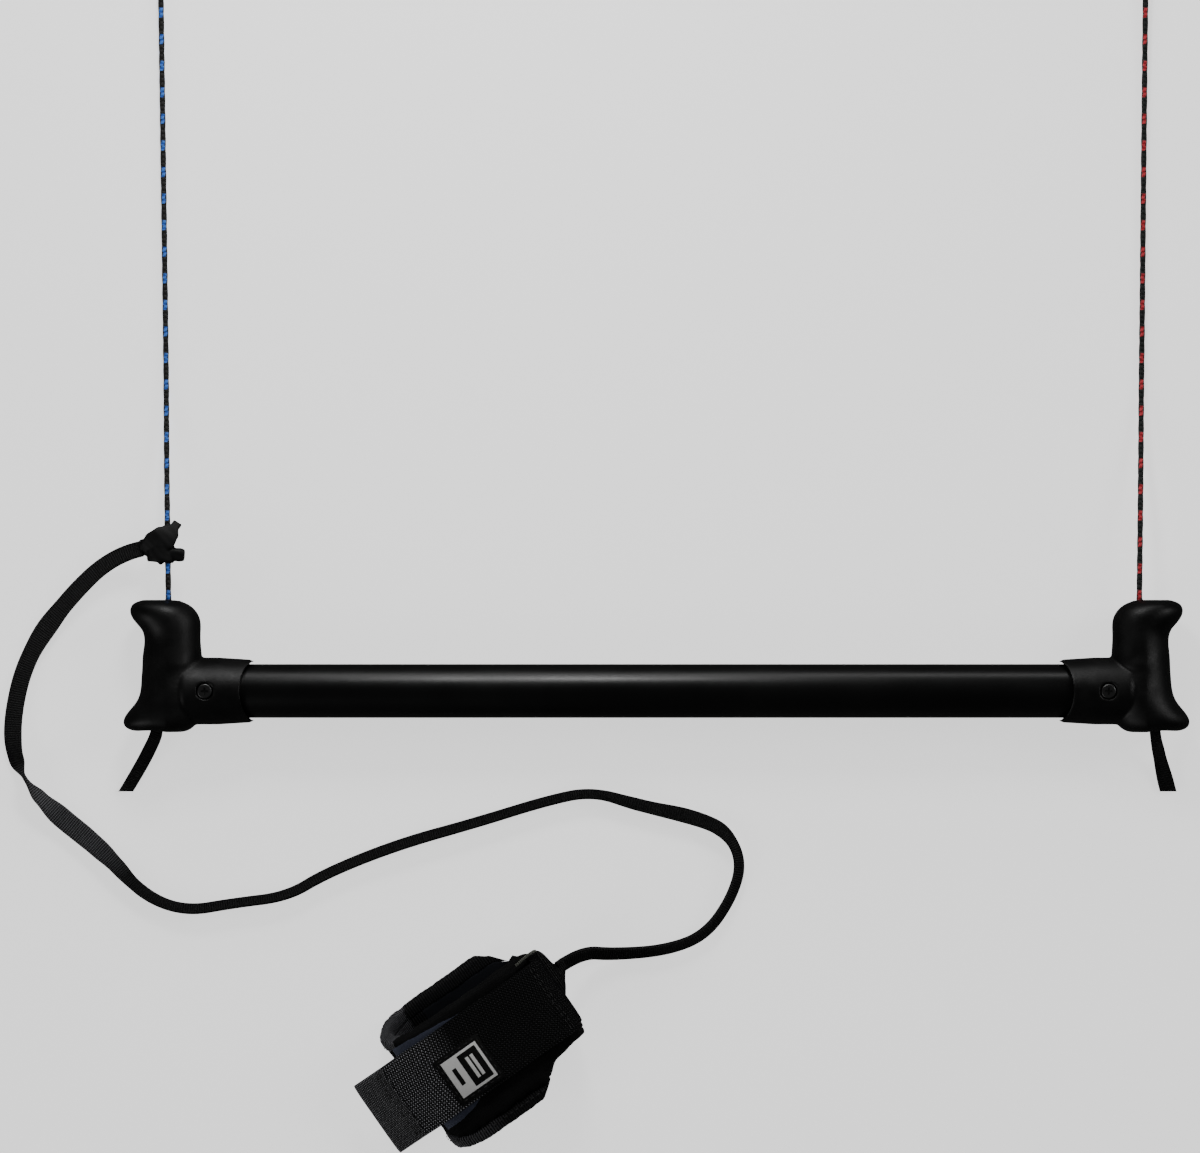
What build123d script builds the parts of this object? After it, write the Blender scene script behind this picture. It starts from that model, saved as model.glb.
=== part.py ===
from build123d import *
from math import cos, pi, radians, sin, tan
import os

# Two-line kite control bar, lying flat: a gripped tube with a moulded fitting at each end,
# a leader out of each fitting, and a wrist cuff on a leash.
# Millimetres. The origin is the middle of the grip, on the tube's axis. +X runs along the bar
# to the right-hand leader, +Y to the kite, +Z up from the surface that the bar lies on.

os.makedirs("parts", exist_ok=True)

# bar
bar_length = 500.0            # over the lower horns
floor_drop = 15.0             # from the tube's axis down to the surface it lies on
horn_axis = bar_length / 2 - 24.0
grip_diameter = 25.0
grip_thickness = 1.5
grip_reach = horn_axis - 27.0  # from the middle to each end of the grip
tube_diameter = grip_diameter - 2 * grip_thickness
tube_wall = 1.5
tube_reach = horn_axis - 4.0

# end fitting
horn_top = 42.4               # from the tube's axis to the horn's upper face
horn_bottom = 19.1
sleeve_diameter = grip_diameter + 6.2
mouth_diameter = sleeve_diameter - 2.2
mouth_chamfer = 0.6
sleeve_length = 40.0          # from the horn's axis to the mouth
mouth_scallop = 7.7           # how far the mouth is cut back on its front and back
wall_fit = 0.05               # radial room where one piece slides into another
channel_radius = 3.0
mouth_flare = 1.2
pocket_radius = 4.2
pocket_depth = 11.0
pocket_shift = 6.0            # the knot pocket lies this much further out than the horn's axis
pocket_gap = 0.5              # from the knot to the pocket's floor

# fixing screw, one in each fitting
screw_inset = 16.0            # from the horn's axis towards the middle
screw_radius = 2.0
screw_head_radius = 3.5
screw_head_height = 2.2
screw_length = 13.0
screw_cross = 0.9             # width of the head's cross recess
screw_recess = 2.8
insert_radius = 3.2
insert_length = 8.0
insert_cover = 1.0            # nylon left over the insert
plug_length = 24.0

# leaders and their knots
leader_radius = 1.4
leader_lift = 2.0             # the swing centre stands this far out of the horn
joint_gap = 0.3               # left between pieces on two bodies
knot_radius = 3.6
knot_ring = 1.7               # radius of the cord where it rings the stopper knot
end_knot_radius = 3.2
end_knot_tail = 9.0
tail_radius = 1.2
exit_shift = {"left": 1.2, "right": -1.2}

# leash and cuff
leash_radius = 2.5
cuff_centre = (147.5 - horn_axis, -163.4)
cuff_angle = 35.0             # the strap's direction, turned from +X
cuff_length = 81.0            # of the flattened loop
cuff_height = 33.0
cuff_width = 59.2             # along the wrist
cuff_skew = 14.0              # the lower wall lies this far back from the upper one
pad_thickness = 4.5
lining_thickness = 1.5
binding_width = 5.0
strap_width = 38.0
strap_thickness = 1.8
patch_thickness = 1.0
strap_start = 42.5            # degrees round the right-hand fold where the strap is sewn down
strap_fall = 35.0             # degrees that the strap turns down past the left-hand fold
strap_tail = 15.0             # straight part of the strap before the pull tab
tab_length = 19.0
tab_thickness = 3.2
strap_edge = 2.0              # strap left bare beside the hook patch
label_size = (19.4, 19.1)
label_place = (-12.8, -5.0)
label_thickness = 0.6
anchor_width = 36.0
anchor_low = -35.0            # degrees round the right-hand fold
anchor_high = 38.0
anchor_block = (4.4, 12.0, 7.0)
anchor_reach = 3.2            # from the fold to the middle of the block
anchor_shift = 9.5            # the block's place across the band

sides = {"left": -1, "right": 1}
floor = -floor_drop


def finish(name, part):
    # Labels a finished piece and writes its file.
    part.label = name
    export_step(part, f"parts/{name}.step")


def cord_radii(points):
    # The largest arc that the two runs at each corner allow.
    radii = []
    for before, corner, after in zip(points, points[1:], points[2:]):
        run_in = Vector(*corner) - Vector(*before)
        run_out = Vector(*after) - Vector(*corner)
        turn = radians(run_in.get_angle(run_out))
        radii.append(0.45 * min(run_in.length, run_out.length) / tan(turn / 2))
    return radii


def tube_along(name, points, radius):
    # A plain round tube of straight runs joined by tangent arcs.
    radii = cord_radii(points)
    with BuildPart() as tube:
        with BuildLine() as path:
            FilletPolyline(*points, radius=radii)
        with BuildSketch(Plane(origin=path.line @ 0, z_dir=path.line % 0)):
            Circle(radius)
        sweep()
    length = sum(edge.length for edge in path.edges())
    ratio = tube.part.volume / (pi * radius**2 * length)
    print(name, "length", round(length, 1), "volume ratio", round(ratio, 4),
          "radii", [round(r) for r in radii])
    return tube.part


# ---- tube and grip ----

with BuildPart() as bar_tube:
    with BuildSketch(Plane.YZ.offset(-tube_reach)):
        Circle(tube_diameter / 2)
        Circle(tube_diameter / 2 - tube_wall, mode=Mode.SUBTRACT)
    extrude(amount=2 * tube_reach)
    with Locations(*[(side * (horn_axis - screw_inset), 0, tube_diameter / 2) for side in sides.values()]):
        Cylinder(screw_radius + wall_fit, 4 * tube_wall, mode=Mode.SUBTRACT)
finish("bar_tube", bar_tube.part)

with BuildPart() as grip_sleeve:
    with BuildSketch(Plane.YZ.offset(-grip_reach)):
        Circle(grip_diameter / 2)
        Circle(tube_diameter / 2, mode=Mode.SUBTRACT)
    extrude(amount=2 * grip_reach)
finish("grip_sleeve", grip_sleeve.part)


# ---- what holds each fitting on the tube ----

def insert_middle(side):
    top = tube_diameter / 2 - tube_wall - insert_cover
    return side * (horn_axis - screw_inset), 0, top - insert_length / 2


def tube_plug(side):
    # Nylon plug in the end of the tube, which the screw's insert is set in.
    start = side * (tube_reach - plug_length)
    with BuildPart() as plug:
        with BuildSketch(Plane.YZ.offset(start)):
            Circle(tube_diameter / 2 - tube_wall - wall_fit)
        extrude(amount=side * (plug_length - 1))
        with Locations(insert_middle(side)):
            Cylinder(insert_radius, insert_length + 2 * insert_cover, mode=Mode.SUBTRACT)
    return plug.part


def screw_insert(side):
    with BuildPart() as insert:
        with Locations(insert_middle(side)):
            Cylinder(insert_radius, insert_length)
            Cylinder(screw_radius + wall_fit, insert_length, mode=Mode.SUBTRACT)
    return insert.part


def fitting_screw(side):
    # Pan head with a cross recess, standing in the fitting's counterbore.
    seat = sleeve_diameter / 2 - screw_recess
    place = Plane(origin=(side * (horn_axis - screw_inset), 0, seat))
    with BuildPart() as screw:
        with BuildSketch(place):
            Circle(screw_head_radius)
        extrude(amount=screw_head_height)
        fillet(screw.edges().group_by(Axis.Z)[-1], screw_head_height / 3)
        with BuildSketch(place.offset(screw_head_height)):
            Rectangle(screw_head_radius, screw_cross)
            Rectangle(screw_cross, screw_head_radius)
        extrude(amount=-screw_head_height / 2, mode=Mode.SUBTRACT)
        with BuildSketch(place):
            Circle(screw_radius)
        extrude(amount=-screw_length)
    return screw.part


# ---- end fittings ----

# Height on the horn, reach inwards and outwards of its axis, and half its thickness.
horn_sections = [
    (-horn_bottom, 3.0, 17.0, 9.0),
    (-17.6, 9.3, 23.0, 13.2),
    (-15.0, 11.8, 24.0, 14.8),
    (-10.7, 13.4, 21.9, 15.3),
    (-5.5, 14.0, 16.6, 15.4),
    (1.0, 14.0, 14.2, 15.2),
    (12.0, 13.9, 13.4, 14.5),
    (22.0, 13.9, 12.6, 14.0),
    (29.0, 13.9, 14.0, 14.0),
    (33.5, 13.5, 17.7, 14.2),
    (37.5, 11.4, 19.1, 13.6),
    (40.6, 7.5, 17.6, 11.0),
    (horn_top, 3.5, 13.2, 7.5),
]


def channel_ends(side, shift=0.0):
    # The leader's way through the horn: its lower end in the pocket and its upper end.
    low = Vector(side * (horn_axis + pocket_shift), -horn_bottom + pocket_depth, 0)
    high = Vector(side * (horn_axis + shift), horn_top, 0)
    return low, high


def end_fitting(side):
    low, high = channel_ends(side)
    channel = Plane(origin=low, x_dir=(0, 0, 1), z_dir=high - low)
    mouth = horn_axis - sleeve_length
    shoulder = horn_axis - screw_inset - 6
    bore = grip_diameter / 2 + wall_fit
    with BuildPart() as fitting:
        for height, inward, outward, half in horn_sections:
            with BuildSketch(Plane.XZ.offset(-height)):
                with Locations((side * (horn_axis + (outward - inward) / 2), 0)):
                    Ellipse((outward + inward) / 2, half)
        loft()
        # sleeve over the tube's end, with a rounded inner end that runs out in the horn
        with BuildSketch(Plane.XY):
            with BuildLine():
                Polyline(
                    (side * mouth, 0),
                    (side * mouth, mouth_diameter / 2 - mouth_chamfer),
                    (side * (mouth + mouth_chamfer), mouth_diameter / 2),
                    (side * shoulder, sleeve_diameter / 2),
                    (side * (horn_axis - 6), sleeve_diameter / 2),
                    (side * (horn_axis + 2), sleeve_diameter / 2 - 3),
                    (side * (horn_axis + 4), sleeve_diameter / 2 - 8),
                    (side * (horn_axis + 4), 0),
                    close=True,
                )
            make_face()
        revolve(axis=Axis.X)
        # the grip's seat, then the tube's
        with BuildSketch(Plane.YZ.offset(side * (mouth - 1))):
            Circle(bore)
        extrude(amount=side * (grip_reach - mouth + 1.5), mode=Mode.SUBTRACT)
        with BuildSketch(Plane.YZ.offset(side * mouth)):
            Circle(tube_diameter / 2 + wall_fit)
        extrude(amount=side * (tube_reach - mouth + 0.5), mode=Mode.SUBTRACT)
        with BuildSketch(Plane.XY):
            with Locations((side * mouth, 0)):
                Ellipse(mouth_scallop, mouth_diameter / 2 - 0.2)
        extrude(amount=sleeve_diameter, both=True, mode=Mode.SUBTRACT)
        # screw hole
        with Locations(Plane(origin=(side * (horn_axis - screw_inset), 0, sleeve_diameter / 2))):
            CounterBoreHole(screw_radius + wall_fit, screw_head_radius + 0.4, screw_recess, depth=8)
        # leader channel, its flared mouth, and the pocket for the knot
        with BuildSketch(channel):
            Circle(channel_radius)
        extrude(amount=(high - low).length + 4, mode=Mode.SUBTRACT)
        with Locations(channel.offset((high - low).length - mouth_flare)):
            Cone(channel_radius, channel_radius + mouth_flare, 2 * mouth_flare, mode=Mode.SUBTRACT)
        with BuildSketch(Plane.XZ.offset(horn_bottom + 1)):
            with Locations((side * (horn_axis + pocket_shift), 0)):
                Circle(pocket_radius)
        extrude(amount=-(pocket_depth + 1), mode=Mode.SUBTRACT)
        # flat underneath, which the bar lies on
        with Locations((side * horn_axis, 0, floor)):
            Box(4 * sleeve_length, 4 * horn_top, 20, align=(Align.CENTER, Align.CENTER, Align.MAX),
                mode=Mode.SUBTRACT)
    return fitting.part


# ---- leaders ----

def knot_centre(side):
    depth = pocket_depth - knot_radius - pocket_gap
    return Vector(side * (horn_axis + pocket_shift), depth - horn_bottom, 0)


def stopper_knot(side):
    with BuildPart() as knot:
        with Locations(knot_centre(side)):
            Sphere(knot_radius)
            Torus(knot_radius + 0.1 - knot_ring, knot_ring, rotation=(90, 0, 0))
    return knot.part


def swing_centre(name):
    side = sides[name]
    return Vector(side * (horn_axis + exit_shift[name]), horn_top + leader_lift, 0)


def leader_core(name, knot):
    # The stretch of the leader inside the fitting, from its knot to the horn's mouth.
    start = knot_centre(sides[name])
    stop = swing_centre(name)
    way = stop - start
    with BuildPart() as core:
        with BuildSketch(Plane(origin=start, x_dir=(0, 0, 1), z_dir=way)):
            Circle(leader_radius)
        extrude(amount=way.length - leader_radius - joint_gap)
        add(knot, mode=Mode.SUBTRACT)
    return core.part


on_floor = floor + leader_radius
knot_on_floor = floor + end_knot_radius + 0.2
# Each leader from its swing centre on: reach outwards of the horn's axis, y and z.
leader_runs = {
    "left": [
        (1.8, 76.0, -2.6),
        (2.4, 110.0, -9.8),
        (2.7, 145.0, on_floor),
        (5.0, 314.0, on_floor),
        (5.3, 333.0, knot_on_floor),
    ],
    "right": [
        (-0.7, 76.0, -2.2),
        (-0.1, 108.0, -8.9),
        (0.3, 142.0, on_floor),
        (2.1, 314.0, on_floor),
        (2.3, 333.0, knot_on_floor),
    ],
}


def outward(side, run):
    return [(side * (horn_axis + reach), y, z) for reach, y, z in run]


leader_routes = {
    name: [tuple(swing_centre(name))] + outward(side, leader_runs[name])
    for name, side in sides.items()
}


def leader_line(name, knot):
    # Round-ended at the horn, so that it swings without touching the stretch inside.
    route = leader_routes[name]
    tube = tube_along(f"leader_line_{name}", route, leader_radius)
    with BuildPart() as line:
        add(tube)
        with Locations(route[0]):
            Sphere(leader_radius)
        add(knot, mode=Mode.SUBTRACT)
    return line.part


def leader_end_knot(name):
    # Overhand knot for the flying line's larks-head, with a short tail beyond it.
    x, y, z = leader_routes[name][-1]
    first_turn = y + end_knot_radius / 3
    second_turn = y + 3 * end_knot_radius / 4
    with BuildPart() as knot:
        with Locations((x, first_turn, z)):
            Sphere(end_knot_radius)
        with Locations((x, second_turn, z)):
            Sphere(0.9 * end_knot_radius)
        with BuildSketch(Plane.XZ.offset(-second_turn)):
            with Locations((x, z)):
                Circle(leader_radius)
        extrude(amount=-end_knot_tail)
    return knot.part


tail_runs = {
    "left": [
        (6.0, -16.4, 0.0),
        (7.2, -23.5, -2.0),
        (12.6, -33.5, -9.0),
        (21.6, -46.6, floor + tail_radius),
    ],
    "right": [
        (6.0, -16.4, 0.0),
        (5.6, -23.5, -2.0),
        (8.4, -33.5, -9.0),
        (12.4, -46.6, floor + tail_radius),
    ],
}


leader_lines = {}
for name, side in sides.items():
    finish(f"tube_plug_{name}", tube_plug(side))
    finish(f"screw_insert_{name}", screw_insert(side))
    finish(f"fitting_screw_{name}", fitting_screw(side))
    finish(f"end_fitting_{name}", end_fitting(side))
    knot = stopper_knot(side)
    finish(f"stopper_knot_{name}", knot)
    finish(f"leader_core_{name}", leader_core(name, knot))
    end_knot = leader_end_knot(name)
    finish(f"leader_end_knot_{name}", end_knot)
    leader_lines[name] = leader_line(name, end_knot)
    finish(f"leader_line_{name}", leader_lines[name])
    tail_route = outward(side, tail_runs[name])
    finish(f"tail_tape_{name}", tube_along(f"tail_tape_{name}", tail_route, tail_radius))


# ---- leash ----

leash_low = floor + leash_radius
# From the hitch to the cuff; x is measured from the left-hand horn's axis.
leash_run = [
    (-13.5, 66.3, -3.6),
    (-27.0, 63.5, -5.5),
    (-49.0, 42.5, -9.5),
    (-68.0, 16.0, leash_low),
    (-75.0, -14.0, leash_low),
    (-73.0, -35.0, -11.0),
    (-60.0, -52.5, -11.5),
    (-31.0, -75.5, leash_low),
    (-14.0, -95.0, leash_low),
    (6.0, -103.0, -11.0),
    (29.0, -99.0, -10.5),
    (54.0, -96.0, -10.5),
    (72.0, -85.0, -11.0),
    (106.0, -71.5, -10.5),
    (142.0, -61.5, -10.5),
    (174.0, -51.5, -10.5),
    (196.0, -46.8, -11.0),
    (218.0, -53.5, -11.0),
    (244.0, -59.0, -11.5),
    (259.0, -65.5, -11.0),
    (266.0, -80.0, -10.5),
    (261.0, -97.0, -10.5),
    (249.0, -114.0, -11.0),
    (231.0, -121.0, -11.0),
    (206.0, -123.0, -11.0),
    (190.5, -121.6, -5.0),
    (179.8, -129.2, floor + cuff_height / 2),
]
leash_route = [(x - horn_axis, y, z) for x, y, z in leash_run]
leash_tape = tube_along("leash_tape", leash_route, leash_radius)
finish("leash_tape", leash_tape)

# The hitch that ties the leash round the left-hand leader, with its two short tails. Its
# outlines are drawn round its middle.
hitch_centre = Vector(-3.8 - horn_axis, 67.6, -2.6)
hitch_outline = [(-9.2, -1.5), (-4.5, -7.0), (2.0, -7.2), (6.5, -1.0), (5.6, 7.5), (-4.0, 6.2)]
hitch_height = 11.0
hitch_rounding = 2.0
flap_outline = [(1.0, 4.0), (6.0, 3.0), (7.2, 9.0), (5.6, 10.6)]
flap_rounding = 0.8
stub_place = (6.2, -3.8)
stub_size = (9.0, 5.4)
tape_thickness = 3.0
leash_start = Vector(-9.9, -1.3, -1.0)
start_room = (2.0, 12.0, 12.0)
hitch_plane = Plane(origin=hitch_centre, x_dir=(1, 0, 0), z_dir=(0, 0, 1))
with BuildPart() as leash_hitch:
    with BuildSketch(hitch_plane.offset(-hitch_height / 2)):
        with BuildLine():
            FilletPolyline(*hitch_outline, radius=2.2, close=True)
        make_face()
    extrude(amount=hitch_height)
    levels = leash_hitch.edges().group_by(Axis.Z)
    fillet(levels[-1] + levels[0], hitch_rounding)
    with BuildSketch(hitch_plane.offset(-tape_thickness / 2)):
        with BuildLine():
            FilletPolyline(*flap_outline, radius=flap_rounding, close=True)
        make_face()
        with Locations(stub_place):
            SlotOverall(*stub_size)
    extrude(amount=tape_thickness)
    add(leader_lines["left"], mode=Mode.SUBTRACT)
    with Locations(hitch_centre + leash_start):
        Box(*start_room, mode=Mode.SUBTRACT)
finish("leash_hitch", leash_hitch.part)


# ---- wrist cuff ----

# The loop lies on its side. In cuff_plane, x runs along the strap, y is up and z goes to the
# lower mouth. plan_plane lies at the loop's mid height, with x along the strap.
along = Vector(cos(radians(cuff_angle)), sin(radians(cuff_angle)), 0)
through = Vector(sin(radians(cuff_angle)), -cos(radians(cuff_angle)), 0)
loop_radius = cuff_height / 2
fold_reach = cuff_length / 2 - loop_radius
cuff_origin = Vector(*cuff_centre, floor + loop_radius)
cuff_plane = Plane(origin=cuff_origin, x_dir=along, z_dir=through)
plan_plane = Plane(origin=cuff_origin, x_dir=along, z_dir=(0, 0, 1))

# What is left of the band at its right-hand end, seen from above.
pad_end = cuff_length / 2 + 5.5
pad_side = cuff_width / 2 + 12.4
pad_plan = [
    (-1.5 * pad_end, -pad_side),
    (0, -pad_side),
    (21, -25),
    (pad_end, -21),
    (pad_end, 24),
    (32, 28),
    (8, pad_side),
    (-1.5 * pad_end, pad_side),
]
plan_rounding = 8.0


def mouth_plane(distance):
    # Parallel to the loop's two slanting mouths, this far from its middle.
    slant = cuff_skew / cuff_height
    return Plane(origin=cuff_origin + through * distance, x_dir=along, z_dir=through - Vector(0, 0, slant))


def loop_band(inner, outer, start, stop):
    # A band of the flattened loop between two offsets from its outer face and two mouth planes.
    with BuildPart() as band:
        with BuildSketch(cuff_plane):
            SlotOverall(cuff_length + 2 * outer, cuff_height + 2 * outer)
            SlotOverall(cuff_length + 2 * inner, cuff_height + 2 * inner, mode=Mode.SUBTRACT)
        extrude(amount=cuff_width, both=True)
        split(bisect_by=mouth_plane(stop), keep=Keep.BOTTOM)
        split(bisect_by=mouth_plane(start), keep=Keep.TOP)
        with BuildSketch(plan_plane.offset(-cuff_height)):
            with BuildLine():
                FilletPolyline(*pad_plan, radius=plan_rounding, close=True)
            make_face()
        extrude(amount=2 * cuff_height, mode=Mode.INTERSECT)
    return band.part


half_width = cuff_width / 2
bound = half_width - binding_width
finish("cuff_pad", loop_band(-pad_thickness, 0, -bound, bound))
finish("cuff_lining", loop_band(-pad_thickness - lining_thickness, -pad_thickness, -bound, bound))
finish("cuff_binding_upper", loop_band(-pad_thickness - lining_thickness, 0, -half_width, -bound))
finish("cuff_binding_lower", loop_band(-pad_thickness - lining_thickness, 0, bound, half_width))

strap_under = 2 * patch_thickness + wall_fit
strap_over = strap_under + strap_thickness
down = radians(strap_fall)
strap_slope = Vector(-cos(down), -sin(down))
strap_middle = loop_radius + (strap_under + strap_over) / 2
with BuildPart() as strap_webbing:
    with BuildSketch(cuff_plane):
        # from the right-hand fold, across the top, and down past the left-hand fold
        with BuildLine():
            inner_and_outer = []
            for radius in (loop_radius + strap_under, loop_radius + strap_over):
                first_turn = CenterArc((fold_reach, 0), radius, strap_start, 90 - strap_start)
                Line((fold_reach, radius), (-fold_reach, radius))
                last_turn = CenterArc((-fold_reach, 0), radius, 90, strap_fall)
                tail = Line(last_turn @ 1, last_turn @ 1 + strap_slope * strap_tail)
                inner_and_outer.append((first_turn @ 0, tail @ 1))
            for inner_end, outer_end in zip(*inner_and_outer):
                Line(inner_end, outer_end)
        make_face()
    extrude(amount=strap_width / 2, both=True)
finish("strap_webbing", strap_webbing.part)

fall_end = Vector(-fold_reach - strap_middle * sin(down), strap_middle * cos(down))
tab_centre = fall_end + strap_slope * (strap_tail + tab_length / 2)
with BuildPart() as pull_tab:
    with BuildSketch(cuff_plane):
        with Locations(Location(tuple(tab_centre), (0, 0, strap_fall))):
            Rectangle(tab_length, tab_thickness)
    extrude(amount=strap_width / 2, both=True)
finish("pull_tab", pull_tab.part)

with BuildPart() as loop_patch:
    with BuildSketch(plan_plane.offset(loop_radius)):
        Rectangle(2 * (fold_reach - strap_edge), strap_width - strap_edge)
    extrude(amount=patch_thickness)
finish("loop_patch", loop_patch.part)

with BuildPart() as hook_patch:
    with BuildSketch(plan_plane.offset(loop_radius + patch_thickness + wall_fit)):
        with Locations((-2 * strap_edge, 0)):
            Rectangle(2 * fold_reach - 7 * strap_edge, strap_width - 2 * strap_edge)
    extrude(amount=patch_thickness)
finish("hook_patch", hook_patch.part)

with BuildPart() as strap_label:
    with BuildSketch(plan_plane.offset(loop_radius + strap_over)):
        with Locations(label_place):
            Rectangle(*label_size)
    extrude(amount=label_thickness)
finish("strap_label", strap_label.part)

with BuildPart() as leash_anchor:
    with BuildSketch(cuff_plane):
        with BuildLine():
            ends = []
            for radius in (loop_radius + wall_fit, loop_radius + strap_under - wall_fit):
                arc = CenterArc((fold_reach, 0), radius, anchor_low, anchor_high - anchor_low)
                ends.append((arc @ 0, arc @ 1))
            for inner_end, outer_end in zip(*ends):
                Line(inner_end, outer_end)
        make_face()
    extrude(amount=anchor_width / 2, both=True)
    with Locations(plan_plane):
        with Locations((fold_reach + loop_radius + anchor_reach, anchor_shift, 0)):
            Box(*anchor_block)
    add(leash_tape, mode=Mode.SUBTRACT)
finish("leash_anchor", leash_anchor.part)

sewn_end = Vector(cos(radians(strap_start)), sin(radians(strap_start)), 0) * strap_middle
pivot = cuff_plane.from_local_coords(Vector(fold_reach, 0, 0) + sewn_end)
print("strap hinge", [round(v, 2) for v in pivot])
for name in sides:
    print("swing centre", name, [round(v, 2) for v in swing_centre(name)])
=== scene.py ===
import bpy
import math
from mathutils import Matrix, Vector, noise


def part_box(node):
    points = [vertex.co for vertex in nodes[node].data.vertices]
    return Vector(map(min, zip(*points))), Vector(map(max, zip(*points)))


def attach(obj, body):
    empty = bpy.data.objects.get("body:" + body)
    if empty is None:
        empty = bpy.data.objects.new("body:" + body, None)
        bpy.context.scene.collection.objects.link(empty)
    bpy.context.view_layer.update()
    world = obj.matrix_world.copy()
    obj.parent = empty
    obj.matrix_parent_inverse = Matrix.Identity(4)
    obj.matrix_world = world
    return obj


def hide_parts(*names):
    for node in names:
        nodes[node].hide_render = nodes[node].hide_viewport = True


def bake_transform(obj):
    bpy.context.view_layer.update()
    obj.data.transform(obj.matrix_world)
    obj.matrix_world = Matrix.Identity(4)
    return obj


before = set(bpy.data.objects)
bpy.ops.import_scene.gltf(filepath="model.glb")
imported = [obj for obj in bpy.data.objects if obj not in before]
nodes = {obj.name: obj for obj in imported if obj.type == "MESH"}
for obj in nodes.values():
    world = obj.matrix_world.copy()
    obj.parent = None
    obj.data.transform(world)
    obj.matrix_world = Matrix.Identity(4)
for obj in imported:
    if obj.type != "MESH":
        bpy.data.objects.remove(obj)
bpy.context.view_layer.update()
mm = 0.001
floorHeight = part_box("end_fitting_left")[0].z  # the bar lies on the flats under its fittings


def linear(hexColour):
    channels = [int(hexColour[i:i + 2], 16) / 255 for i in (1, 3, 5)]
    return [c / 12.92 if c <= 0.04045 else ((c + 0.055) / 1.055) ** 2.4 for c in channels] + [1.0]


def newMaterial(name, colour, rough, **settings):
    material = bpy.data.materials.new(name)
    material.use_nodes = True
    shader = material.node_tree.nodes["Principled BSDF"]
    shader.inputs["Base Color"].default_value = linear(colour)
    shader.inputs["Roughness"].default_value = rough
    for key, value in settings.items():
        shader.inputs[key.replace("_", " ")].default_value = value
    return material, shader


def addNode(tree, kind, settings=None, inputs=None):
    # settings are the node's own choices, inputs are values or sockets by name or number.
    node = tree.nodes.new(kind)
    for key, value in (settings or {}).items():
        setattr(node, key, value)
    for key, value in (inputs or {}).items():
        if isinstance(value, bpy.types.NodeSocket):
            tree.links.new(value, node.inputs[key])
        else:
            node.inputs[key].default_value = value
    return node


# Each of these adds to the tree that its first socket belongs to.

def feed(output, socket):
    output.id_data.links.new(output, socket)


def maths(operation, first, second=0.0):
    node = addNode(first.id_data, "ShaderNodeMath", {"operation": operation}, {0: first, 1: second})
    return node.outputs[0]


def times(first, second):
    return maths("MULTIPLY", first, second)


def ribs(distance, pitchInMm):
    return maths("SINE", times(distance, 2 * math.pi / (pitchInMm * mm)))


def apartFrom(value, middle):
    return maths("ABSOLUTE", maths("SUBTRACT", value, middle))


def between(value, low, high, newLow=0.0, newHigh=1.0):
    return addNode(value.id_data, "ShaderNodeMapRange", inputs={
        "Value": value, "From Min": low, "From Max": high, "To Min": newLow, "To Max": newHigh}).outputs[0]


def grain(place, sizeInMm, detail=3.0):
    return addNode(place.id_data, "ShaderNodeTexNoise", inputs={
        "Vector": place, "Scale": 1 / (sizeInMm * mm), "Detail": detail}).outputs[0]


def blendColours(share, low, high, target=None):
    mix = addNode(share.id_data, "ShaderNodeMix", {"data_type": "RGBA"}, {0: share})
    for number, colour in ((6, low), (7, high)):
        if isinstance(colour, str):
            mix.inputs[number].default_value = linear(colour)
        else:
            feed(colour, mix.inputs[number])
    if target:
        feed(mix.outputs[2], target)
    return mix.outputs[2]


def raised(shader, height, depthInMm, strength=1.0, under=None):
    bump = addNode(height.id_data, "ShaderNodeBump", inputs={
        "Height": height, "Distance": depthInMm * mm, "Strength": strength})
    if under:
        feed(under, bump.inputs["Normal"])
    if shader:
        feed(bump.outputs[0], shader.inputs["Normal"])
    return bump.outputs[0]


def uvOf(material):
    uv = addNode(material.node_tree, "ShaderNodeUVMap", {"uv_map": "UVMap"})
    split = addNode(material.node_tree, "ShaderNodeSeparateXYZ", inputs={"Vector": uv.outputs[0]})
    return split.outputs["X"], split.outputs["Y"]


def objectPlace(material):
    return addNode(material.node_tree, "ShaderNodeTexCoord").outputs["Object"]


def drawnOut(material, share):
    return addNode(material.node_tree, "ShaderNodeMapping", inputs={
        "Vector": objectPlace(material), "Scale": (share, 1, 1)}).outputs[0]


def deselectAll():
    bpy.ops.object.select_all(action="DESELECT")


def workOn(piece):
    deselectAll()
    piece.select_set(True)
    bpy.context.view_layer.objects.active = piece


def facesOutward(piece):
    workOn(piece)
    bpy.ops.object.mode_set(mode="EDIT")
    bpy.ops.mesh.select_all(action="SELECT")
    bpy.ops.mesh.normals_make_consistent(inside=False)
    bpy.ops.object.mode_set(mode="OBJECT")


def applied(piece, kind, **settings):
    workOn(piece)
    modifier = piece.modifiers.new(kind.lower(), kind)
    for key, value in settings.items():
        setattr(modifier, key, value)
    bpy.ops.object.modifier_apply(modifier=modifier.name)


def settle(piece, name, angle=40):
    # Puts the piece's place into its mesh and smooths its shading.
    workOn(piece)
    bpy.ops.object.transform_apply(location=True, rotation=True, scale=True)
    piece.name = name
    piece.data.name = name
    bpy.ops.object.shade_smooth_by_angle(angle=math.radians(angle))
    return piece


def wear(piece, material, slotName, body, *replaced):
    piece.data.materials.clear()
    piece.data.materials.append(material)
    if body:
        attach(piece, body)
    if replaced:
        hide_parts(*replaced)


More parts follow.
